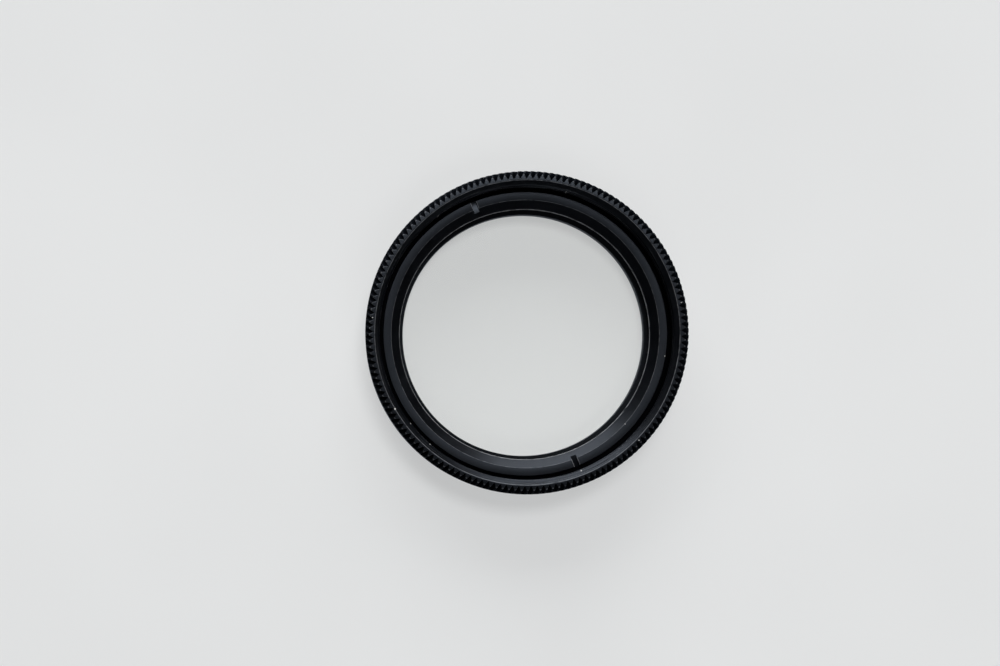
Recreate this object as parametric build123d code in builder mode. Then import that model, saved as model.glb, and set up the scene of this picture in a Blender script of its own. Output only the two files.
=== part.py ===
"""Screw-in lens filter: a knurled mount, a clear glass disc and the slotted ring that holds it.

The filter lies on the rear end of its male thread, with Z on the optical axis and the front face up.
Radii are worked out from the thread, inwards to the clear aperture and outwards to the grip.
"""

import os
from math import cos, pi, radians, tan

from build123d import *

# Filter thread, millimetres
thread_diameter = 37.0
thread_pitch = 0.75
rear_thread_length = 2.3
thread_end_chamfer = 0.3

# Front of the mount
mouth_margin = 0.2
face_width = 0.65
edge_width = 0.52
edge_depth = 0.43
front_depth = 2.4
relief_margin = 0.1
relief_clearance = 0.05

# Knurled grip
knurl_pitch = 0.795
knurl_depth = 0.53
knurl_run = 0.76
knurl_land = 0.1
knurl_slant = 25.0
cut_margin = 0.1

# Glass and its seat
lip_height = 1.3
lip_reach = 0.54
aperture_chamfer = 0.3
glass_thickness = 1.8
glass_clearance = 0.05
glass_edge_break = 0.15

# Retaining ring
retainer_height = 1.25
retainer_passing = 0.35
retainer_clearance = 0.05
retainer_edge_break = 0.15
flat_width = 0.95
cone_width = 1.05
cone_depth = 0.9
inner_edge_break = 0.12
glass_inset = 0.9
ledge_drop = 0.5
seat_relief = 0.25
slot_width = 0.68
slot_depth = 0.35
slot_count = 2

# Female thread: its ridges are five eighths of the sharp 60 degree V
thread_radius = thread_diameter / 2
sharp_thread_height = thread_pitch * cos(radians(30))
front_bore_radius = thread_radius - sharp_thread_height * 5 / 8

# Radii inwards from the female thread
retainer_radius = front_bore_radius - retainer_passing
retainer_bore_radius = retainer_radius + retainer_clearance
flat_radius = retainer_radius - retainer_edge_break
cone_radius = flat_radius - flat_width
retainer_inner_radius = cone_radius - cone_width
aperture_radius = retainer_inner_radius - lip_reach
glass_radius = retainer_radius - glass_inset
seat_radius = glass_radius + glass_clearance

# Radii outwards from the thread
mouth_radius = thread_radius + mouth_margin
face_radius = mouth_radius + face_width
grip_radius = face_radius + edge_width
relief_radius = thread_radius + relief_clearance
lead_in = mouth_radius - front_bore_radius

# Levels above the rear end
glass_top = lip_height + glass_thickness
retainer_top = glass_top + retainer_height
ledge_level = retainer_top - ledge_drop
relief_level = retainer_top + relief_margin
front_level = retainer_top + front_depth
edge_level = front_level - edge_depth

os.makedirs("parts", exist_ok=True)

# One knurl groove: a V across the bevelled front edge, deepest at the front face, that runs out on the wall.
# Its width and depth are those at the front face, and it slants off the radius as seen from the front.
knurl_count = round(2 * pi * grip_radius / knurl_pitch)
groove_root = face_radius - knurl_depth
groove_width = 2 * pi * face_radius / knurl_count - knurl_land
groove_top = face_radius + cut_margin
top_width = groove_width * (groove_top - groove_root) / knurl_depth
groove_outward = (grip_radius - groove_root) / knurl_run
groove_run = Vector(groove_outward, -groove_outward * tan(radians(knurl_slant)), -1)
groove_start = Vector(0, 0, front_level) - groove_run * cut_margin
groove_length = groove_run.length * (knurl_run + 2 * cut_margin)

with BuildPart() as knurl_groove:
    with BuildSketch(Plane(groove_start)):
        with BuildLine():
            Polyline((groove_root, 0), (groove_top, top_width / 2), (groove_top, -top_width / 2), close=True)
        make_face()
    extrude(amount=groove_length, dir=groove_run)

# Mount: one turned ring, its section drawn from the rear end round the outside to the aperture, then knurled
with BuildPart() as filter_ring:
    with BuildSketch(Plane.XZ):
        with BuildLine():
            Polyline(
                (aperture_radius + aperture_chamfer, 0),
                (thread_radius - thread_end_chamfer, 0),
                (thread_radius, thread_end_chamfer),
                (thread_radius, rear_thread_length),
                (grip_radius, rear_thread_length),
                (grip_radius, edge_level),
                (face_radius, front_level),
                (mouth_radius, front_level),
                (front_bore_radius, front_level - lead_in),
                (front_bore_radius, relief_level),
                (relief_radius, relief_level),
                (relief_radius, ledge_level),
                (retainer_bore_radius, ledge_level),
                (retainer_bore_radius, glass_top - seat_relief),
                (seat_radius, glass_top - seat_relief),
                (seat_radius, lip_height),
                (aperture_radius, lip_height),
                (aperture_radius, aperture_chamfer),
                close=True,
            )
        make_face()
    revolve(axis=Axis.Z)
    with PolarLocations(0, knurl_count):
        add(knurl_groove.part, mode=Mode.SUBTRACT)
filter_ring.part.label = "filter_ring"
export_step(filter_ring.part, "parts/filter_ring.step")

# Glass: a plane disc on the lip, with both rims broken
with BuildPart() as filter_glass:
    with BuildSketch(Plane.XY.offset(lip_height)):
        Circle(glass_radius)
    extrude(amount=glass_thickness)
    chamfer(filter_glass.edges().filter_by(GeomType.CIRCLE), length=glass_edge_break)
filter_glass.part.label = "filter_glass"
export_step(filter_glass.part, "parts/filter_glass.step")

# Retaining ring: a flat top, a cone down to the glass and two slots for a spanner
with BuildPart() as retaining_ring:
    with BuildSketch(Plane.XZ):
        with BuildLine():
            Polyline(
                (retainer_inner_radius, glass_top),
                (retainer_radius, glass_top),
                (retainer_radius, retainer_top),
                (cone_radius, retainer_top),
                (retainer_inner_radius, retainer_top - cone_depth),
                close=True,
            )
        make_face()
    revolve(axis=Axis.Z)
    outer_rims = retaining_ring.edges().filter_by(GeomType.CIRCLE).group_by(SortBy.RADIUS)[-1]
    chamfer(outer_rims, length=retainer_edge_break)
    inner_rims = retaining_ring.edges().filter_by(GeomType.CIRCLE).group_by(SortBy.RADIUS)[0]
    chamfer(inner_rims.sort_by(Axis.Z)[-1], length=inner_edge_break)
    with BuildSketch(Plane.XY.offset(retainer_top)):
        with PolarLocations(retainer_radius, slot_count, start_angle=90):
            Rectangle(2 * (retainer_radius - retainer_inner_radius), slot_width)
    extrude(amount=-slot_depth, mode=Mode.SUBTRACT)
retaining_ring.part.label = "retaining_ring"
export_step(retaining_ring.part, "parts/retaining_ring.step")
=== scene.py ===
"""Looks of a screw-in lens filter: a knurled black mount, its glass and the ring that holds the glass.

Each piece is modelled in millimetres with edit-mode operators, brought to metres in the frame of the
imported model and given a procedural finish. The Z axis is the optical axis, with the front face up.
"""

import functools
import logging
import math
from dataclasses import dataclass, field
from enum import Enum
from typing import Callable, Mapping, Sequence, Union

import bmesh
import bpy
import numpy as np
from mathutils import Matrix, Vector


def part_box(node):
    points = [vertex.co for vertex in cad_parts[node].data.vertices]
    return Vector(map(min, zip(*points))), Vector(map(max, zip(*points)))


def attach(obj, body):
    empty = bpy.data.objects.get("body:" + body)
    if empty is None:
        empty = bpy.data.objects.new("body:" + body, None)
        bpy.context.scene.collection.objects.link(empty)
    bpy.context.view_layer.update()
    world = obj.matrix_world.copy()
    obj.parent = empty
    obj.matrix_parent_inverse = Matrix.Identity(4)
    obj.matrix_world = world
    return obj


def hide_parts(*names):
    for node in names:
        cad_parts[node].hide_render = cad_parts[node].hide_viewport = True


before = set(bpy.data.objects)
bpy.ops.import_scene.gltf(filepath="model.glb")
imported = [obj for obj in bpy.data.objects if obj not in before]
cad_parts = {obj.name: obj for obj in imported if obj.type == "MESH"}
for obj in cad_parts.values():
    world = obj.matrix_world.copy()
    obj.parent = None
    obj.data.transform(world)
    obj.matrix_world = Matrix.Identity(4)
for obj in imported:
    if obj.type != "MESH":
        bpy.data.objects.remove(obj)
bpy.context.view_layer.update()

LOG = logging.getLogger("lens_filter")

# One millimetre in metres
MM = 0.001
# Millimetres within which a vertex counts as at a place, and within which vertices merge
NEAR = 0.001
WELD = 0.0001
# Size of the photograph in pixels
PHOTO_WIDTH = 1000
PHOTO_HEIGHT = 666
# Space between nodes in the drawing of a node tree
NODE_STEP = 180.0
# Middle of a noise, and the part of it that a cloudy colour runs through
NOISE_MEAN = 0.5
CLOUD_RANGE = (0.3, 0.7)

Point = tuple[float, float]
Colour = tuple[float, float, float]
Number = Union[float, "Value"]
Polar = tuple[np.ndarray, np.ndarray, np.ndarray]


class Node(Enum):
    """CAD nodes that the finished pieces stand for."""

    MOUNT = "filter_ring"
    GLASS = "filter_glass"
    RETAINER = "retaining_ring"


class Slot(Enum):
    """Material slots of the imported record."""

    MOUNT = "black_mount"
    GLASS = "clear_glass"
    RETAINER = "black_retainer"


class Wall(Enum):
    """The kind of wall that a thread is cut in."""

    BORE = "bore"
    STEM = "stem"


@dataclass(frozen=True)
class Span:
    """Radius and levels of a CAD node, in millimetres."""

    radius: float
    bottom: float
    top: float

    @classmethod
    def of(cls, node: Node) -> "Span":
        """Returns the span of a CAD node as the frame holds it."""
        low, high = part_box(node.value)
        return cls(high[0] / MM, low[2] / MM, high[2] / MM)


class Value:
    """A number that varies over a surface, held as the socket that gives it."""

    def __init__(self, bench: "Bench", socket: bpy.types.NodeSocket) -> None:
        """Keeps the socket and the bench whose tree it is in."""
        self.bench = bench
        self.socket = socket

    def math(self, operation: str, *terms: Number) -> "Value":
        """Returns the result of a new Math node with those inputs."""
        return self.bench.value("ShaderNodeMath", {"operation": operation}, dict(enumerate(terms)))

    def __add__(self, other: Number) -> "Value":
        """Returns the sum."""
        return self.math("ADD", self, other)

    __radd__ = __add__

    def __sub__(self, other: Number) -> "Value":
        """Returns this value less another."""
        return self.math("SUBTRACT", self, other)

    def __rsub__(self, other: Number) -> "Value":
        """Returns another value less this one."""
        return self.math("SUBTRACT", other, self)

    def __mul__(self, other: Number) -> "Value":
        """Returns the product."""
        return self.math("MULTIPLY", self, other)

    __rmul__ = __mul__

    def __pow__(self, other: Number) -> "Value":
        """Returns this value raised to a power."""
        return self.math("POWER", self, other)

    def larger(self, other: Number) -> "Value":
        """Returns the larger of two values."""
        return self.math("MAXIMUM", self, other)

    def smaller(self, other: Number) -> "Value":
        """Returns the smaller of two values."""
        return self.math("MINIMUM", self, other)

    def ramp(self, low: float, high: float) -> "Value":
        """Steps smoothly from 0 at one value to 1 at another, which may be the lower one.

        Args:
            low: Value at which the step is 0.
            high: Value at which the step is 1.

        Returns:
            The step.
        """
        ends = (1.0, 0.0) if low > high else (0.0, 1.0)
        sockets = {0: self, 1: min(low, high), 2: max(low, high), 3: ends[0], 4: ends[1]}
        return self.bench.value("ShaderNodeMapRange", {"interpolation_type": "SMOOTHSTEP"}, sockets)


def distance(across: Value, along: Value) -> Value:
    """Returns how far two parts at right angles reach together."""
    return (across * across + along * along) ** 0.5


@dataclass(frozen=True)
class Spot:
    """A place on a piece, by its coordinates and its distance from the axis, in millimetres."""

    place: bpy.types.NodeSocket
    across: Value
    along: Value
    level: Value
    radius: Value


class Bench:
    """The node tree of one material or of the room."""

    def __init__(self, owner: Union[bpy.types.Material, bpy.types.World]) -> None:
        """Empties the tree of a new material or world.

        Args:
            owner: The material or world.
        """
        self.owner = owner
        owner.use_nodes = True
        self.tree = owner.node_tree
        self.tree.nodes.clear()

    @classmethod
    def of(cls, name: str) -> "Bench":
        """Returns the bench of a new material of that name."""
        return cls(bpy.data.materials.new(name))

    def node(
        self, kind: str, settings: Mapping[str, object], sockets: Mapping[object, object]
    ) -> bpy.types.Node:
        """Adds a node.

        Args:
            kind: The node's type.
            settings: Attributes that are set before the sockets.
            sockets: Values or links, by the input's name or place.

        Returns:
            The new node.
        """
        node = self.tree.nodes.new(kind)
        node.location.x = NODE_STEP * len(self.tree.nodes)
        for name, setting in settings.items():
            setattr(node, name, setting)
        for key, given in sockets.items():
            source = given.socket if isinstance(given, Value) else given
            if isinstance(source, bpy.types.NodeSocket):
                self.tree.links.new(source, node.inputs[key])
            else:
                node.inputs[key].default_value = source
        return node

    def value(self, kind: str, settings: Mapping[str, object], sockets: Mapping[object, object]) -> Value:
        """Adds a node as node() does and returns its first output as a value."""
        return Value(self, self.node(kind, settings, sockets).outputs[0])

    def place(self) -> bpy.types.NodeSocket:
        """Reads the place on the object.

        Returns:
            The place in millimetres.
        """
        metres = self.node("ShaderNodeTexCoord", {}, {}).outputs["Object"]
        sockets = {0: metres, "Scale": 1.0 / MM}
        return self.node("ShaderNodeVectorMath", {"operation": "SCALE"}, sockets).outputs[0]

    def spot(self) -> Spot:
        """Reads the place on the object and takes it apart.

        Returns:
            The place with its coordinates and radius.
        """
        place = self.place()
        axes = self.node("ShaderNodeSeparateXYZ", {}, {0: place})
        across, along, level = (Value(self, socket) for socket in axes.outputs)
        return Spot(place, across, along, level, distance(across, along))

    def noise(self, place: bpy.types.NodeSocket, scale: float, detail: float = 2.0) -> Value:
        """Makes noise around its mean.

        Args:
            place: Where the noise is read.
            scale: Cells per millimetre.
            detail: Octaves of finer noise.

        Returns:
            The noise.
        """
        sockets = {"Vector": place, "Scale": scale, "Detail": detail}
        return self.value("ShaderNodeTexNoise", {}, sockets)

    def largest(self, masks: Sequence[Value]) -> Value:
        """Returns the largest of some masks, which is 0 if there are none."""
        none = self.value("ShaderNodeMath", {"operation": "ADD"}, {0: 0.0, 1: 0.0})
        return functools.reduce(Value.larger, masks, none)

    def mix(self, share: Value, base: object, over: object) -> bpy.types.NodeSocket:
        """Mixes two colours.

        Args:
            share: Share of the second colour.
            base: The first colour.
            over: The second colour.

        Returns:
            The colour between them.
        """
        sockets = {0: share, 6: base, 7: over}
        return self.node("ShaderNodeMix", {"data_type": "RGBA"}, sockets).outputs[2]

    def bump(self, height: Value, depth: float, under: object = None) -> bpy.types.NodeSocket:
        """Makes a normal that follows a height.

        Args:
            height: Height from 0 to 1.
            depth: Height of a full step, in millimetres.
            under: A normal that this one adds to.

        Returns:
            The normal.
        """
        sockets: dict[object, object] = {"Strength": 1.0, "Distance": depth * MM, "Height": height}
        if under is not None:
            sockets["Normal"] = under
        return self.node("ShaderNodeBump", {}, sockets).outputs[0]

    def rays(self, *kinds: str) -> Value:
        """Marks rays of some kinds.

        Args:
            kinds: Names of the Light Path node's outputs.

        Returns:
            1 for a ray of any of the kinds and 0 for others.
        """
        path = self.node("ShaderNodeLightPath", {}, {})
        return functools.reduce(Value.larger, [Value(self, path.outputs[kind]) for kind in kinds])

    def close(self, surface: bpy.types.NodeSocket) -> bpy.types.Material:
        """Ends the tree in its output and returns the material."""
        self.node("ShaderNodeOutputMaterial", {}, {"Surface": surface})
        return self.owner


@dataclass(frozen=True)
class Rim:
    """A turned edge painted pale, in millimetres; the pale stands for wear on some rims and is a painted
    highlight on others.
    """

    radius: float
    level: float
    reach: float
    share: float

    def mask(self, spot: Spot) -> Value:
        """Returns the share on the edge, which fades to 0 over its reach."""
        off = distance(spot.radius - self.radius, spot.level - self.level)
        return off.ramp(self.reach, 0.0) * self.share


@dataclass(frozen=True)
class SlotEdge:
    """The two long edges of slots along the Y axis, in millimetres, painted pale as a painted glint with
    some wear.
    """

    across: float
    level: float
    reach: float
    share: float

    def mask(self, spot: Spot) -> Value:
        """Marks the two edges.

        Args:
            spot: A place on the piece.

        Returns:
            The share on an edge, which fades to 0 over its reach.
        """
        aside = (spot.across * spot.across) ** 0.5 - self.across
        off = distance(aside, spot.level - self.level)
        return off.ramp(self.reach, 0.0) * self.share


@dataclass(frozen=True)
class Speck:
    """A grain of pale dust that lies above a level, by its angle in degrees and the rest in millimetres.

    Its middle, a share of its size, is solid, and the rest fades out.
    """

    angle: float
    radius: float
    level: float
    size: float
    middle: float = 0.45
    fade: float = 0.1

    def mask(self, spot: Spot) -> Value:
        """Marks the grain.

        Args:
            spot: A place on the piece.

        Returns:
            1 on the grain and 0 elsewhere.
        """
        turn = math.radians(self.angle)
        x, y = self.radius * math.cos(turn), self.radius * math.sin(turn)
        off = distance(spot.across - x, spot.along - y)
        above = spot.level.ramp(self.level - self.fade, self.level)
        return off.ramp(self.size, self.size * self.middle) * above


@dataclass(frozen=True)
class Crest:
    """Outline of the grip over its teeth: a plain wall with a bevelled front edge, in millimetres."""

    outer: float
    front: float
    edge_width: float
    edge_depth: float

    @property
    def face(self) -> float:
        """Radius at which the bevel meets the front face."""
        return self.outer - self.edge_width

    def radius(self, level: Value) -> Value:
        """Returns the radius of the outline at a level."""
        bevel = self.face + (self.front - level) * (self.edge_width / self.edge_depth)
        return bevel.smaller(self.outer)


@dataclass(frozen=True)
class Grooves:
    """Painted shade in the grooves between the teeth of a knurl, in millimetres.

    The tops of the teeth have a share of that shade, which grows from a shallow place to a deep one.
    """

    crest: Crest
    depth: float
    edge_share: float = 0.65
    shallow: float = 0.03
    deep: float = 0.12
    root_margin: float = 0.03
    root_fade: float = 0.05
    front_margin: float = 0.02
    front_fade: float = 0.08

    def mask(self, spot: Spot) -> Value:
        """Marks the grooves for their painted shade.

        Args:
            spot: A place on the piece.

        Returns:
            1 well below the tops of the teeth, less on them and 0 off the knurl.
        """
        below = self.crest.radius(spot.level) - spot.radius
        root = self.crest.face - self.depth - self.root_margin
        front = self.crest.front - self.front_margin
        groove_shade = self.edge_share + below.ramp(self.shallow, self.deep) * (1.0 - self.edge_share)
        outside = spot.radius.ramp(root - self.root_fade, root)
        return groove_shade * outside * spot.level.ramp(front, front - self.front_fade)


@dataclass(frozen=True)
class Trench:
    """A ring-shaped recess between two radii and two levels, in millimetres, that gets painted shade."""

    inner: float
    outer: float
    low: float
    high: float
    share: float = 1.0
    fade: float = 0.05

    def mask(self, spot: Spot) -> Value:
        """Marks the recess for its painted shade.

        Args:
            spot: A place on the piece.

        Returns:
            The share inside the recess and 0 elsewhere.
        """
        outside = spot.radius.ramp(self.inner - self.fade, self.inner)
        inside = spot.radius.ramp(self.outer + self.fade, self.outer)
        above = spot.level.ramp(self.low - self.fade, self.low)
        under = spot.level.ramp(self.high, self.high - self.fade)
        return outside * inside * above * under * self.share


@dataclass(frozen=True)
class BlackAnodise:
    """Satin black anodised aluminium with fine turning marks, wear on its rims and a little dust,
    with painted shade in its recesses and painted highlights on some rims and slot edges.

    Scales are in cells per millimetre and depths in millimetres.
    """

    name: str
    tone: Colour = (0.0022, 0.0024, 0.0032)
    dark_share: float = 0.7
    light_share: float = 1.35
    sheen_tone: Colour = (0.74, 0.84, 1.0)
    # Pale tones: wear with painted highlights on rims, painted glints with some wear on slot edges, and
    # dust
    wear_and_highlight_tone: Colour = (0.4, 0.415, 0.44)
    rubbed_and_glint_tone: Colour = (0.5, 0.52, 0.55)
    dust_tone: Colour = (0.62, 0.62, 0.6)
    index: float = 1.34
    roughness: float = 0.33
    cloud_roughness: float = 0.12
    grain_roughness: float = 0.1
    turning_roughness: float = 0.08
    dust_roughness: float = 0.4
    recess_roughness: float = 0.25
    detail: float = 3.0
    cloud_scale: float = 0.35
    grain_scale: float = 14.0
    turning_scale: float = 9.0
    patch_scale: float = 1.6
    patch_range: Point = (0.2, 0.6)
    turning_depth: float = 0.0015
    grain_depth: float = 0.0008
    rims: tuple[Rim, ...] = ()
    slot_edges: tuple[SlotEdge, ...] = ()
    specks: tuple[Speck, ...] = ()
    recesses: tuple[Union[Grooves, Trench], ...] = ()

    def material(self) -> bpy.types.Material:
        """Builds the finish.

        Returns:
            The finish as a material.
        """
        bench = Bench.of(self.name)
        spot = bench.spot()
        section = bench.node("ShaderNodeCombineXYZ", {}, {0: spot.radius, 1: spot.level}).outputs[0]
        cloud = bench.noise(spot.place, self.cloud_scale, self.detail)
        grain = bench.noise(spot.place, self.grain_scale)
        turning = bench.noise(section, self.turning_scale, self.detail)
        patchy = bench.noise(spot.place, self.patch_scale, self.detail).ramp(*self.patch_range)

        # Pale rims: wear, and a painted highlight where a rim stands in for one
        wear_and_highlight = bench.largest([rim.mask(spot) for rim in self.rims]) * patchy
        # Pale slot edges: painted glints with some wear
        rubbed_and_glint = bench.largest([edge.mask(spot) for edge in self.slot_edges])
        dust = bench.largest([speck.mask(spot) for speck in self.specks])
        # Painted shade in recesses: the dark tone, extra roughness and a metallic dark base that cuts the
        # reflection
        painted_shade = bench.largest([recess.mask(spot) for recess in self.recesses])

        dark = tuple(part * self.dark_share for part in self.tone)
        light = tuple(part * self.light_share for part in self.tone)
        colour = bench.mix(cloud.ramp(*CLOUD_RANGE), (*dark, 1.0), (*light, 1.0))
        # The painted shade mixes in the dark end of the cloud tone
        layers = ((painted_shade, dark), (wear_and_highlight, self.wear_and_highlight_tone), (rubbed_and_glint, self.rubbed_and_glint_tone), (dust, self.dust_tone))
        for share, tone in layers:
            colour = bench.mix(share, colour, (*tone, 1.0))

        rough = self.roughness + (cloud - NOISE_MEAN) * self.cloud_roughness
        rough = rough + (grain - NOISE_MEAN) * self.grain_roughness
        rough = rough + (turning - NOISE_MEAN) * self.turning_roughness
        rough = rough + dust * self.dust_roughness + painted_shade * self.recess_roughness
        sockets = {
            "Base Color": colour,
            "Roughness": rough,
            # Painted shade: metallic with the dark tone cuts the reflection in recesses
            "Metallic": painted_shade * (1.0 - dust),
            "Normal": bench.bump(grain, self.grain_depth, bench.bump(turning, self.turning_depth)),
            "IOR": self.index,
            "Specular Tint": (*self.sheen_tone, 1.0),
        }
        return bench.close(bench.node("ShaderNodeBsdfPrincipled", {}, sockets).outputs[0])


@dataclass(frozen=True)
class ClearGlass:
    """Polished clear glass with a ground rim, which lets the light of the lamps through, in millimetres."""

    name: str
    rim_start: float
    rim_fade: float = 0.1
    rim_roughness: float = 0.55
    tone: Colour = (0.985, 0.99, 0.985)
    index: float = 1.5

    def material(self) -> bpy.types.Material:
        """Builds the finish.

        Returns:
            The finish as a material.
        """
        bench = Bench.of(self.name)
        ground = bench.spot().radius.ramp(self.rim_start, self.rim_start + self.rim_fade)
        sockets = {
            "Base Color": (*self.tone, 1.0),
            "Roughness": ground * self.rim_roughness,
            "IOR": self.index,
            "Transmission Weight": 1.0,
        }
        glass = bench.node("ShaderNodeBsdfPrincipled", {}, sockets).outputs[0]
        clear = bench.node("ShaderNodeBsdfTransparent", {}, {"Color": (*self.tone, 1.0)}).outputs[0]
        sockets = {0: bench.rays("Is Shadow Ray", "Is Diffuse Ray"), 1: glass, 2: clear}
        return bench.close(bench.node("ShaderNodeMixShader", {}, sockets).outputs[0])


@dataclass(frozen=True)
class PaleFloor:
    """A plain pale studio floor, which glows a little where it is looked at to thin the shadows."""

    name: str
    tone: Colour = (0.88, 0.89, 0.89)
    dim_share: float = 0.97
    cloud_scale: float = 0.02
    roughness: float = 0.85
    specular: float = 0.2
    glow: float = 0.55
    glow_strength: float = 0.98

    def material(self) -> bpy.types.Material:
        """Builds the finish.

        Returns:
            The finish as a material.
        """
        bench = Bench.of(self.name)
        cloud = bench.noise(bench.place(), self.cloud_scale)
        dim = tuple(part * self.dim_share for part in self.tone)
        colour = bench.mix(cloud.ramp(*CLOUD_RANGE), (*dim, 1.0), (*self.tone, 1.0))
        sockets = {"Base Color": colour, "Roughness": self.roughness, "Specular IOR Level": self.specular}
        matt = bench.node("ShaderNodeBsdfPrincipled", {}, sockets).outputs[0]
        sockets = {"Color": colour, "Strength": self.glow_strength}
        lit = bench.node("ShaderNodeEmission", {}, sockets).outputs[0]
        share = bench.rays("Is Camera Ray", "Is Glossy Ray", "Is Transmission Ray") * self.glow
        return bench.close(bench.node("ShaderNodeMixShader", {}, {0: share, 1: matt, 2: lit}).outputs[0])


def clear_bench() -> None:
    """Leaves edit mode and deselects everything."""
    if bpy.context.mode != "OBJECT":
        bpy.ops.object.mode_set(mode="OBJECT")
    bpy.ops.object.select_all(action="DESELECT")


class Workpiece:
    """A mesh under the tools, in millimetres until it is finished."""

    def __init__(self, name: str, section: Sequence[Point], closed: bool = False) -> None:
        """Draws a half section in the XZ plane by extruding one vertex from corner to corner.

        Args:
            name: Name of the object.
            section: Radius and level of each corner, in order.
            closed: True if the last corner is joined to the first.
        """
        clear_bench()
        bpy.ops.mesh.primitive_plane_add(size=1.0)
        self.body: bpy.types.Object = bpy.context.object
        self.body.name = name
        bpy.ops.object.mode_set(mode="EDIT")
        bpy.ops.mesh.select_all(action="SELECT")
        bpy.ops.mesh.merge(type="CENTER")
        corners = [Vector((radius, 0.0, level)) for radius, level in section]
        if closed:
            corners.append(corners[0])
        bpy.ops.transform.translate(value=corners[0])
        for start, end in zip(corners, corners[1:]):
            bpy.ops.mesh.extrude_region_move(TRANSFORM_OT_translate={"value": end - start})
        if closed:
            bpy.ops.mesh.select_all(action="SELECT")
            bpy.ops.mesh.remove_doubles(threshold=NEAR)

    def pick(self, corners: Sequence[Point]) -> None:
        """Selects corners of the drawn section, and the lines between them.

        Args:
            corners: Radius and level of each corner.
        """
        bpy.ops.mesh.select_all(action="DESELECT")
        mesh = bmesh.from_edit_mesh(self.body.data)
        for vertex in mesh.verts:
            x, _, z = vertex.co
            vertex.select_set(any(math.hypot(x - radius, z - level) < NEAR for radius, level in corners))
        mesh.select_flush(True)
        bmesh.update_edit_mesh(self.body.data)

    def soften(self, corners: Sequence[Point], width: float, segments: int) -> None:
        """Rounds corners of the drawn section.

        Args:
            corners: Radius and level of each corner.
            width: How far the round reaches along each side.
            segments: Straight parts in the round.
        """
        self.pick(corners)
        bpy.ops.mesh.bevel(offset=width, offset_type="OFFSET", segments=segments, affect="VERTICES")

    def divide(self, start: Point, end: Point, step: float) -> None:
        """Cuts the straight line between two corners into even rows.

        Args:
            start: One corner.
            end: The other corner.
            step: Largest height of a row.
        """
        self.pick((start, end))
        bpy.ops.mesh.subdivide(number_cuts=math.ceil(math.dist(start, end) / step) - 1)

    def turn(self, steps: int) -> None:
        """Spins the drawn section round the axis.

        Args:
            steps: Steps in the full turn.
        """
        bpy.ops.mesh.select_all(action="SELECT")
        bpy.ops.mesh.spin(
            steps=steps, angle=math.tau, center=(0, 0, 0), axis=(0, 0, 1), use_auto_merge=True
        )
        self.tidy()

    def tidy(self) -> None:
        """Merges doubled vertices and points all faces outwards."""
        bpy.ops.mesh.select_all(action="SELECT")
        bpy.ops.mesh.remove_doubles(threshold=WELD)
        bpy.ops.mesh.normals_make_consistent(inside=False)

    def carve(self, rule: Callable[[np.ndarray, np.ndarray, np.ndarray], Polar]) -> None:
        """Moves vertices by a rule on their radius, angle and level.

        Args:
            rule: Takes the three arrays and returns the new ones.
        """
        bpy.ops.object.mode_set(mode="OBJECT")
        flat = np.empty(3 * len(self.body.data.vertices))
        self.body.data.vertices.foreach_get("co", flat)
        x, y, z = flat.reshape(-1, 3).T
        radius, angle, level = rule(np.hypot(x, y), np.arctan2(y, x) % math.tau, z.copy())
        moved = np.stack([radius * np.cos(angle), radius * np.sin(angle), level], axis=1)
        self.body.data.vertices.foreach_set("co", moved.ravel())
        self.body.data.update()
        bpy.ops.object.mode_set(mode="EDIT")

    def bridge(self, other: "Workpiece", levels: Sequence[float]) -> None:
        """Joins another workpiece to this one, across the open loops at each level.

        Args:
            other: A workpiece with open loops beside this one's.
            levels: Levels at which the two have open loops.
        """
        clear_bench()
        other.body.select_set(True)
        self.body.select_set(True)
        bpy.context.view_layer.objects.active = self.body
        bpy.ops.object.join()
        bpy.ops.object.mode_set(mode="EDIT")
        for level in levels:
            bpy.ops.mesh.select_all(action="DESELECT")
            mesh = bmesh.from_edit_mesh(self.body.data)
            for edge in mesh.edges:
                if edge.is_boundary and all(abs(end.co.z - level) < NEAR for end in edge.verts):
                    edge.select_set(True)
            bmesh.update_edit_mesh(self.body.data)
            bpy.ops.mesh.bridge_edge_loops()
        self.tidy()

    def apply(self, kind: str, **settings: object) -> None:
        """Adds a modifier and applies it.

        Args:
            kind: The modifier's type.
            settings: Its attributes.
        """
        clear_bench()
        bpy.context.view_layer.objects.active = self.body
        modifier = self.body.modifiers.new(kind.lower(), kind)
        for name, setting in settings.items():
            setattr(modifier, name, setting)
        bpy.ops.object.modifier_apply(modifier=modifier.name)

    def finish(self, crease: float) -> bpy.types.Object:
        """Brings the piece to metres and smooths it.

        Args:
            crease: Angle in degrees past which an edge stays sharp.

        Returns:
            The finished object.
        """
        clear_bench()
        self.body.select_set(True)
        bpy.context.view_layer.objects.active = self.body
        self.body.scale = (MM, MM, MM)
        bpy.ops.object.transform_apply(location=True, rotation=True, scale=True)
        bpy.ops.object.shade_smooth_by_angle(angle=math.radians(crease))
        self.apply("WEIGHTED_NORMAL", weight=100, keep_sharp=True)
        return self.body


def dress(piece: bpy.types.Object, material: bpy.types.Material, node: Node) -> None:
    """Gives a finished piece its material and its place in the frame.

    Args:
        piece: The finished piece.
        material: Its finish.
        node: The CAD node that it stands for.
    """
    piece.data.materials.clear()
    piece.data.materials.append(material)
    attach(piece, "root")
    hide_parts(node.value)


@dataclass(frozen=True)
class Thread:
    """A 60 degree screw thread, in millimetres and shares of the pitch."""

    wall: Wall
    major: float
    minor: float
    pitch: float
    groove_level: float
    groove_flat: float
    ridge_flat: float

    def radius(self, angle: np.ndarray, level: np.ndarray) -> np.ndarray:
        """Works out the thread's radius.

        Args:
            angle: Angle of each vertex.
            level: Level of each vertex.

        Returns:
            The radius at each vertex.
        """
        turn = (level - self.groove_level) / self.pitch - angle / math.tau
        off = np.abs(turn - np.round(turn))
        flank = 0.5 - (self.groove_flat + self.ridge_flat) / 2
        rise = np.clip((off - self.groove_flat / 2) / flank, 0.0, 1.0)
        if self.wall is Wall.BORE:
            return self.major + (self.minor - self.major) * rise
        return self.minor + (self.major - self.minor) * rise


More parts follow.
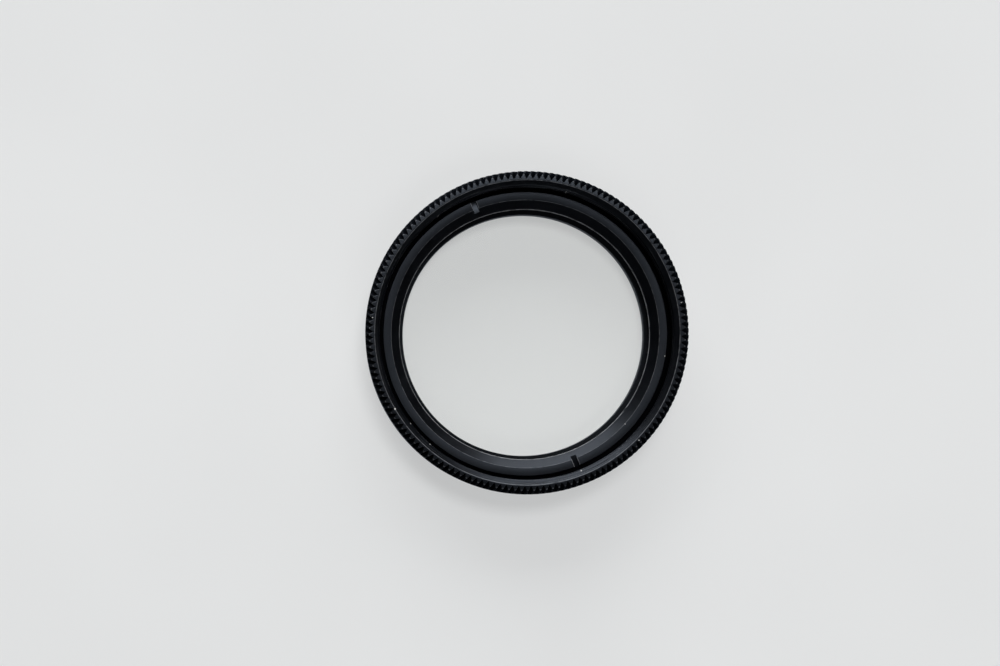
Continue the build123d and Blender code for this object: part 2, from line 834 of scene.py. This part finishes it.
@dataclass(frozen=True)
class Knurl:
    """Slanted V grooves across the bevelled front edge of the grip, in millimetres and degrees."""

    teeth: int = 157
    depth: float = 0.53
    run: float = 0.76
    land: float = 0.1
    floor: float = 0.06
    slant: float = 25.0
    columns: int = 4

    def cut(self, crest: Crest) -> Callable[[np.ndarray, np.ndarray, np.ndarray], Polar]:
        """Makes the rule that presses the grooves into a plain grip.

        Args:
            crest: Outline over the teeth.

        Returns:
            The rule, for Workpiece.carve.
        """
        pitch = math.tau / self.teeth
        whole = pitch * crest.face
        root = crest.face - self.depth
        outward = (crest.outer - root) / self.run
        flare = (whole - self.land - self.floor) / 2 / self.depth
        slip = outward * math.tan(math.radians(self.slant))

        def rule(radius: np.ndarray, angle: np.ndarray, level: np.ndarray) -> Polar:
            """Moves each column of vertices to an edge of the groove's floor or to the top of its wall.

            Args:
                radius: Radius of each vertex.
                angle: Angle of each vertex.
                level: Level of each vertex.

            Returns:
                The new radii, angles and levels.
            """
            index = np.round(angle / math.tau * self.teeth * self.columns).astype(int)
            column = index % self.columns
            down = np.clip(crest.front - level, 0.0, self.run)
            floor = root + outward * down
            stand = radius - floor
            at_floor = (column == 0) | (column == self.columns - 1)
            across = self.floor / 2 + np.where(at_floor, 0.0, flare * stand)
            across = np.where(2 * column >= self.columns, whole - across, across)
            across = np.where(stand > NEAR, across, (column + 0.5) * whole / self.columns)
            lowered = np.where(at_floor, np.minimum(radius, floor), radius)
            return lowered, index // self.columns * pitch + (across - slip * down) / crest.face, level

        return rule


@dataclass
class Mount:
    """The knurled ring with a male thread behind and a female thread in front, in millimetres."""

    thread_radius: float = 18.5
    thread_pitch: float = 0.75
    narrow_flat: float = 0.125
    wide_flat: float = 0.25
    ridge_depth: float = 0.406
    stem_depth: float = 0.46
    front_groove: float = 5.92
    rear_groove: float = 0.4
    rear_length: float = 2.3
    rear_chamfer: float = 0.3
    run_out: float = 0.28
    mouth_margin: float = 0.2
    mouth_round: float = 0.085
    edge_width: float = 0.52
    edge_depth: float = 0.43
    edge_round: float = 0.12
    outer_round: float = 0.08
    heel_break: float = 0.15
    relief_margin: float = 0.1
    relief_clearance: float = 0.05
    ledge_drop: float = 0.5
    fit: float = 0.05
    seat_relief: float = 0.25
    aperture_radius: float = 15.18
    aperture_chamfer: float = 0.3
    lip_break: float = 0.06
    face_seam: float = 0.09
    heel_seam: float = 0.27
    grip_seam: float = 0.018
    rows_per_pitch: int = 14
    chamfer_row: float = 0.08
    bevel_row: float = 0.2
    wall_row: float = 0.9
    crease: float = 34.0
    # Reach, rise and share of the painted shade in the trench and on the lip
    trench_margin: float = 0.1
    trench_rise: float = 0.55
    lip_margin: float = 0.05
    lip_share: float = 0.4
    knurl: Knurl = field(default_factory=Knurl)
    specks: tuple[Speck, ...] = (
        Speck(188.5, 18.72, 5.5, 0.15),
        Speck(207.5, 18.12, 5.5, 0.1),
        Speck(196.5, 18.1, 5.5, 0.09),
        Speck(270.0, 18.2, 5.5, 0.09),
        Speck(105.5, 18.06, 5.0, 0.09),
        Speck(52.8, 18.06, 5.0, 0.1),
        Speck(294.5, 19.0, 6.0, 0.08),
        Speck(349.5, 19.2, 6.0, 0.08),
        Speck(153.0, 19.05, 6.0, 0.08),
    )

    def __post_init__(self) -> None:
        """Reads the spans that the frame gives and works out the radii of the mouth and the knurl."""
        self.ring = Span.of(Node.MOUNT)
        self.glass = Span.of(Node.GLASS)
        self.retainer = Span.of(Node.RETAINER)
        self.mouth_radius = self.thread_radius + self.mouth_margin
        self.crest = Crest(self.ring.radius, self.ring.top, self.edge_width, self.edge_depth)
        self.root_radius = self.crest.face - self.knurl.depth

    def core(self) -> Workpiece:
        """Turns the inside of the mount and its rear stem, with both threads.

        Returns:
            The inside, open at the front face and at the shoulder.
        """
        front, rear = self.ring.top, self.rear_length
        mouth, thread = self.mouth_radius, self.thread_radius
        relief_level = self.retainer.top + self.relief_margin
        relief = thread + self.relief_clearance
        ledge = self.retainer.top - self.ledge_drop
        bore = self.retainer.radius + self.fit
        seat = self.glass.radius + self.fit
        shelf = self.glass.top - self.seat_relief
        lip, aperture = self.glass.bottom, self.aperture_radius
        wall_top = (thread, front - self.mouth_margin)
        wall_foot = (thread, relief_level)
        stem_tip = (thread - self.rear_chamfer, 0.0)
        stem_foot = (thread, self.rear_chamfer)
        stem_root = (thread, rear)
        section = [
            (mouth + self.face_seam, front), (mouth, front), wall_top, wall_foot, (relief, relief_level),
            (relief, ledge), (bore, ledge), (bore, shelf), (seat, shelf), (seat, lip), (aperture, lip),
            (aperture, self.aperture_chamfer), (aperture + self.aperture_chamfer, 0.0), stem_tip,
            stem_foot, stem_root, (self.root_radius - self.heel_seam, rear),
        ]
        core = Workpiece("knurled_mount", section)
        row = self.thread_pitch / self.rows_per_pitch
        core.divide(wall_top, wall_foot, row)
        core.divide(stem_foot, stem_root, row)
        core.divide(stem_tip, stem_foot, self.chamfer_row)
        core.soften([(mouth, front)], self.mouth_round, segments=3)
        core.soften([(aperture, lip)], self.lip_break, segments=2)
        core.turn(2 * self.knurl.teeth)
        core.carve(self.cut_threads)
        return core

    def cut_threads(self, radius: np.ndarray, angle: np.ndarray, level: np.ndarray) -> Polar:
        """Moves the plain thread walls to the ridges and grooves of their threads.

        Args:
            radius: Radius of each vertex.
            angle: Angle of each vertex.
            level: Level of each vertex.

        Returns:
            The new radii, with the angles and levels as they were.
        """
        thread, pitch = self.thread_radius, self.thread_pitch
        narrow, wide = self.narrow_flat, self.wide_flat
        stem_minor = thread - self.stem_depth
        bore = Thread(Wall.BORE, thread, thread - self.ridge_depth, pitch, self.front_groove, narrow, wide)
        stem = Thread(Wall.STEM, thread, stem_minor, pitch, self.rear_groove, wide, narrow)
        top = self.ring.top - self.mouth_margin
        foot = self.retainer.top + self.relief_margin
        in_bore = (np.abs(radius - thread) < NEAR) & (level > foot - NEAR) & (level < top + NEAR)
        lead = thread - (top - level)
        radius = np.where(in_bore, np.maximum(bore.radius(angle, level), lead), radius)
        on_stem = (level < self.rear_length + NEAR) & (radius > thread - self.rear_chamfer - NEAR)
        on_stem &= radius < thread + NEAR
        cut = np.minimum(stem.radius(angle, level), thread - self.rear_chamfer + level)
        cut = np.where(level > self.rear_length - self.run_out, stem_minor, cut)
        return np.where(on_stem, np.minimum(cut, radius), radius), angle, level

    def grip(self) -> Workpiece:
        """Turns and knurls the outside of the mount.

        Returns:
            The outside, open at the front face and at the shoulder.
        """
        front, rear, outer = self.ring.top, self.rear_length, self.ring.radius
        face = (self.crest.face, front)
        edge = (outer, front - self.edge_depth)
        run_out = (outer, front - self.knurl.run)
        heel = (outer, rear)
        inner = self.root_radius - self.grip_seam
        grip = Workpiece("grip", [(inner, front), face, edge, run_out, heel, (inner, rear)])
        grip.divide(face, edge, self.bevel_row)
        grip.divide(run_out, heel, self.wall_row)
        grip.soften([face], self.edge_round, segments=4)
        grip.soften([edge], self.outer_round, segments=3)
        grip.soften([heel], self.heel_break, segments=2)
        grip.turn(self.knurl.teeth * self.knurl.columns)
        grip.carve(self.knurl.cut(self.crest))
        return grip

    def build(self) -> bpy.types.Object:
        """Joins the inside and the outside.

        Returns:
            The whole mount.
        """
        core = self.core()
        core.bridge(self.grip(), (self.ring.top, self.rear_length))
        return core.finish(self.crease)

    def dress(self, piece: bpy.types.Object) -> None:
        """Gives the mount its black finish.

        Args:
            piece: The finished mount.
        """
        rims = (
            Rim(self.mouth_radius, self.ring.top, reach=0.07, share=0.5),
            Rim(self.crest.face, self.ring.top, reach=0.12, share=0.25),
        )
        margin = self.trench_margin
        trench_outer, trench_top = self.thread_radius + margin, self.retainer.top + self.trench_rise
        lip_inner, lip_top = self.aperture_radius - self.lip_margin, self.glass.bottom + margin
        # Painted shade: the knurl's grooves and tooth tops, the trench round the retainer and the lip under
        # the glass
        recesses = (
            Grooves(self.crest, self.knurl.depth),
            Trench(self.retainer.radius, trench_outer, self.glass.top, trench_top),
            Trench(lip_inner, self.glass.radius, -margin, lip_top, self.lip_share),
        )
        finish = BlackAnodise("black_anodised_mount", rims=rims, specks=self.specks, recesses=recesses)
        dress(piece, finish.material(), Node.MOUNT)


@dataclass
class Retainer:
    """The slotted ring that holds the glass, in millimetres and degrees."""

    edge_break: float = 0.15
    flat_width: float = 0.95
    cone_width: float = 1.05
    cone_depth: float = 0.9
    inner_round: float = 0.12
    step_break: float = 0.03
    slot_width: float = 0.68
    slot_depth: float = 0.35
    slot_break: float = 0.05
    slot_corner: float = 50.0
    steps: int = 256
    crease: float = 30.0
    # Reach of the painted shade on the outer wall
    trench_margin: float = 0.1
    wall_skin: float = 0.02
    specks: tuple[Speck, ...] = (Speck(329.5, 17.55, 4.2, 0.09), Speck(296.5, 16.7, 4.2, 0.08))

    def __post_init__(self) -> None:
        """Reads the ring's span from the frame and works out the radii of its step and bore."""
        self.span = Span.of(Node.RETAINER)
        self.step_radius = self.span.radius - self.edge_break - self.flat_width
        self.inner_radius = self.step_radius - self.cone_width
        self.rim_level = self.span.top - self.cone_depth

    def build(self) -> bpy.types.Object:
        """Turns the ring and cuts its spanner slots.

        Returns:
            The finished ring.
        """
        outer, low, top = self.span.radius, self.span.bottom, self.span.top
        rim = (self.inner_radius, self.rim_level)
        step = (self.step_radius, top)
        section = [(self.inner_radius, low), (outer, low), (outer, top), step, rim]
        ring = Workpiece("slotted_retainer", section, closed=True)
        ring.soften([(outer, top), (outer, low)], self.edge_break, segments=1)
        ring.soften([rim], self.inner_round, segments=4)
        ring.soften([step], self.step_break, segments=2)
        ring.turn(self.steps)
        cutter = self.cutter()
        ring.apply("BOOLEAN", object=cutter, operation="DIFFERENCE", solver="EXACT")
        bpy.data.objects.remove(cutter, do_unlink=True)
        corner = math.radians(self.slot_corner)
        ring.apply("BEVEL", width=self.slot_break, segments=2, limit_method="ANGLE", angle_limit=corner)
        return ring.finish(self.crease)

    def cutter(self) -> bpy.types.Object:
        """Makes a bar across the ring that is as wide as a slot and reaches as deep.

        Returns:
            The bar.
        """
        clear_bench()
        bpy.ops.mesh.primitive_cube_add(size=1.0, location=(0, 0, self.span.top))
        bar = bpy.context.object
        bpy.ops.transform.resize(value=(self.slot_width, 3 * self.span.radius, 2 * self.slot_depth))
        bpy.ops.object.transform_apply(location=True, rotation=True, scale=True)
        return bar

    def dress(self, piece: bpy.types.Object) -> None:
        """Gives the ring its black finish.

        Args:
            piece: The finished ring.
        """
        outer, low, top = self.span.radius, self.span.bottom, self.span.top
        margin = self.trench_margin
        finish = BlackAnodise(
            "black_anodised_retainer",
            rims=(
                # Painted highlight along the inner rim, with some wear
                Rim(self.inner_radius, self.rim_level, reach=0.11, share=0.9),
                Rim(self.step_radius, top, reach=0.05, share=0.3),
            ),
            # Painted glints along the slot edges, with some wear
            slot_edges=(SlotEdge(self.slot_width / 2, top, reach=0.08, share=0.8),),
            specks=self.specks,
            # Painted shade on the outer wall, which sits inside the mount's bore
            recesses=(Trench(outer - self.wall_skin, outer + margin, low, top - margin),),
        )
        dress(piece, finish.material(), Node.RETAINER)


@dataclass
class Disc:
    """The clear glass, in millimetres."""

    rim_break: float = 0.15
    ground_width: float = 0.225
    sides: int = 192
    crease: float = 15.0

    def __post_init__(self) -> None:
        """Reads the glass's span from the frame."""
        self.span = Span.of(Node.GLASS)

    def build(self) -> bpy.types.Object:
        """Turns the glass and breaks both its rims.

        Returns:
            The finished glass.
        """
        radius, low, top = self.span.radius, self.span.bottom, self.span.top
        disc = Workpiece("clear_disc", [(0.0, low), (radius, low), (radius, top), (0.0, top)])
        disc.soften([(radius, low), (radius, top)], self.rim_break, segments=2)
        disc.turn(self.sides)
        return disc.finish(self.crease)

    def dress(self, piece: bpy.types.Object) -> None:
        """Gives the glass its clear finish."""
        finish = ClearGlass("clear_polished_glass", rim_start=self.span.radius - self.ground_width)
        dress(piece, finish.material(), Node.GLASS)


def aim(azimuth: float, polar: float) -> Vector:
    """Returns the unit vector towards a place in the room, by its angles from X and from Z in degrees."""
    lean, turn = math.radians(polar), math.radians(azimuth)
    return Vector((math.sin(lean) * math.cos(turn), math.sin(lean) * math.sin(turn), math.cos(lean)))


@dataclass
class SoftBox:
    """A rectangular soft lamp that points at the filter, in metres, degrees and watts."""

    name: str
    azimuth: float
    polar: float
    distance: float
    width: float
    height: float
    watts: float

    def build(self) -> None:
        """Hangs the lamp in its place."""
        away = aim(self.azimuth, self.polar)
        bpy.ops.object.light_add(type="AREA", location=away * self.distance)
        lamp = bpy.context.object
        lamp.name = self.name
        lamp.rotation_euler = away.to_track_quat("Z", "Y").to_euler()
        lamp.data.shape = "RECTANGLE"
        lamp.data.size, lamp.data.size_y = self.width, self.height
        lamp.data.energy = self.watts


@dataclass
class PhotoCamera:
    """The camera of the photograph, which looks straight down beside the ring's axis.

    Height, foot and sensor are in millimetres, the scale in pixels per millimetre on the front face and
    the centre, where the ring's axis meets that face, in pixels.
    """

    height: float = 171.0
    foot: Point = (-19.0, -13.0)
    scale: float = 8.165
    centre: Point = (527.43, 332.47)
    up_azimuth: float = 68.5
    sensor: float = 36.0
    near_clip: float = 5.0

    def build(self) -> None:
        """Sets up the camera, with its lens shifted so that the ring comes to its place in the picture."""
        turn = math.radians(self.up_azimuth - 90.0)
        right = Vector((math.cos(turn), math.sin(turn), 0.0))
        up = Vector((-math.sin(turn), math.cos(turn), 0.0))
        place = right * self.foot[0] + up * self.foot[1]
        place.z = Span.of(Node.MOUNT).top + self.height
        bpy.ops.object.camera_add(location=place * MM, rotation=(0.0, 0.0, turn))
        camera = bpy.context.object
        camera.name = "photo_camera"
        camera.data.sensor_fit = "HORIZONTAL"
        camera.data.sensor_width = self.sensor
        camera.data.lens = self.sensor * self.scale * self.height / PHOTO_WIDTH
        axis = (self.centre[0] + self.scale * self.foot[0], self.centre[1] - self.scale * self.foot[1])
        camera.data.shift_x = (PHOTO_WIDTH / 2 - axis[0]) / PHOTO_WIDTH
        camera.data.shift_y = (axis[1] - PHOTO_HEIGHT / 2) / PHOTO_WIDTH
        camera.data.clip_start = self.near_clip * MM
        bpy.context.scene.camera = camera


@dataclass
class Studio:
    """The pale floor, the lamps, the camera and the dim room round them, in metres."""

    floor_radius: float = 3.0
    floor_sides: int = 96
    horizon: Colour = (0.72, 0.73, 0.74)
    room: Colour = (0.026, 0.029, 0.034)
    haze: float = 0.1
    lamps: tuple[SoftBox, ...] = (
        SoftBox("window_lamp", 75.0, 71.0, 4.0, 4.4, 2.2, 175.0),
        SoftBox("ceiling_lamp", 57.0, 21.5, 4.0, 1.6, 1.05, 55.0),
        SoftBox("fill_lamp", 262.0, 37.0, 4.0, 3.4, 1.6, 24.0),
    )

    def build(self) -> None:
        """Makes the floor, the lamps, the room and the camera."""
        clear_bench()
        bpy.ops.mesh.primitive_circle_add(
            vertices=self.floor_sides, radius=self.floor_radius, fill_type="NGON"
        )
        floor = bpy.context.object
        floor.name = "pale_floor"
        floor.data.materials.append(PaleFloor("pale_floor").material())
        for lamp in self.lamps:
            lamp.build()
        self.light_room()
        PhotoCamera().build()
        bpy.context.scene.view_settings.view_transform = "Standard"

    def light_room(self) -> None:
        """Makes a dim room that is pale only along the horizon."""
        world = bpy.data.worlds.new("studio_room")
        bench = Bench(world)
        toward = bench.node("ShaderNodeTexCoord", {}, {}).outputs["Generated"]
        level = Value(bench, bench.node("ShaderNodeSeparateXYZ", {}, {0: toward}).outputs[2])
        sky = bench.mix(level.ramp(0.0, self.haze), (*self.horizon, 1.0), (*self.room, 1.0))
        light = bench.node("ShaderNodeBackground", {}, {"Color": sky}).outputs[0]
        bench.node("ShaderNodeOutputWorld", {}, {"Surface": light})
        bpy.context.scene.world = world


def main() -> None:
    """Builds and dresses each piece, then sets up the studio."""
    logging.basicConfig(level=logging.INFO, format="%(message)s")
    for part in (Mount(), Disc(), Retainer()):
        piece = part.build()
        part.dress(piece)
        LOG.info("%s: %d faces", piece.name, len(piece.data.polygons))
    Studio().build()


if __name__ == "__main__":
    main()
